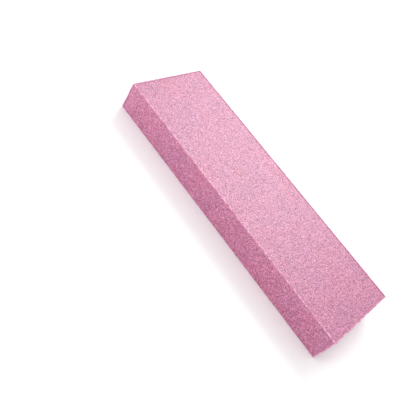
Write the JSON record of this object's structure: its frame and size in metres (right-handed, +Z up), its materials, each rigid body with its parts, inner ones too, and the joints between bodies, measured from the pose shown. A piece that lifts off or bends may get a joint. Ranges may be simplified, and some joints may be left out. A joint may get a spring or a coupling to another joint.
{
  "type": "nail buffer block",
  "caption": "Slim rectangular foam block for filing and buffing nails, with pink abrasive paper glued over its broad faces, sides and ends.",
  "frame": {"origin": "middle of the underside, on the surface that the block lies on", "axes": "+X along the length towards the front end, +Y across the width towards the left side, +Z up through the thickness"},
  "size_m": [0.095, 0.03, 0.01],
  "materials": {
    "core_foam": "closed-cell EVA foam, matte",
    "adhesive": "clear pressure-sensitive acrylic glue film",
    "backing": "dyed abrasive-paper backing, matte",
    "abrasive_grit": "pink aluminium-oxide grains in resin, rough and finely sparkling"
  },
  "bodies": {
    "root": {"foam_core": "core_foam", "top_adhesive_film": "adhesive", "top_backing_paper": "backing", "top_grit_coat": "abrasive_grit", "bottom_adhesive_film": "adhesive", "bottom_backing_paper": "backing", "bottom_grit_coat": "abrasive_grit", "left_side_adhesive_film": "adhesive", "left_side_backing_paper": "backing", "left_side_grit_coat": "abrasive_grit", "right_side_adhesive_film": "adhesive", "right_side_backing_paper": "backing", "right_side_grit_coat": "abrasive_grit", "front_end_adhesive_film": "adhesive", "front_end_backing_paper": "backing", "front_end_grit_coat": "abrasive_grit", "rear_end_adhesive_film": "adhesive", "rear_end_backing_paper": "backing", "rear_end_grit_coat": "abrasive_grit"}
  },
  "joints": []
}
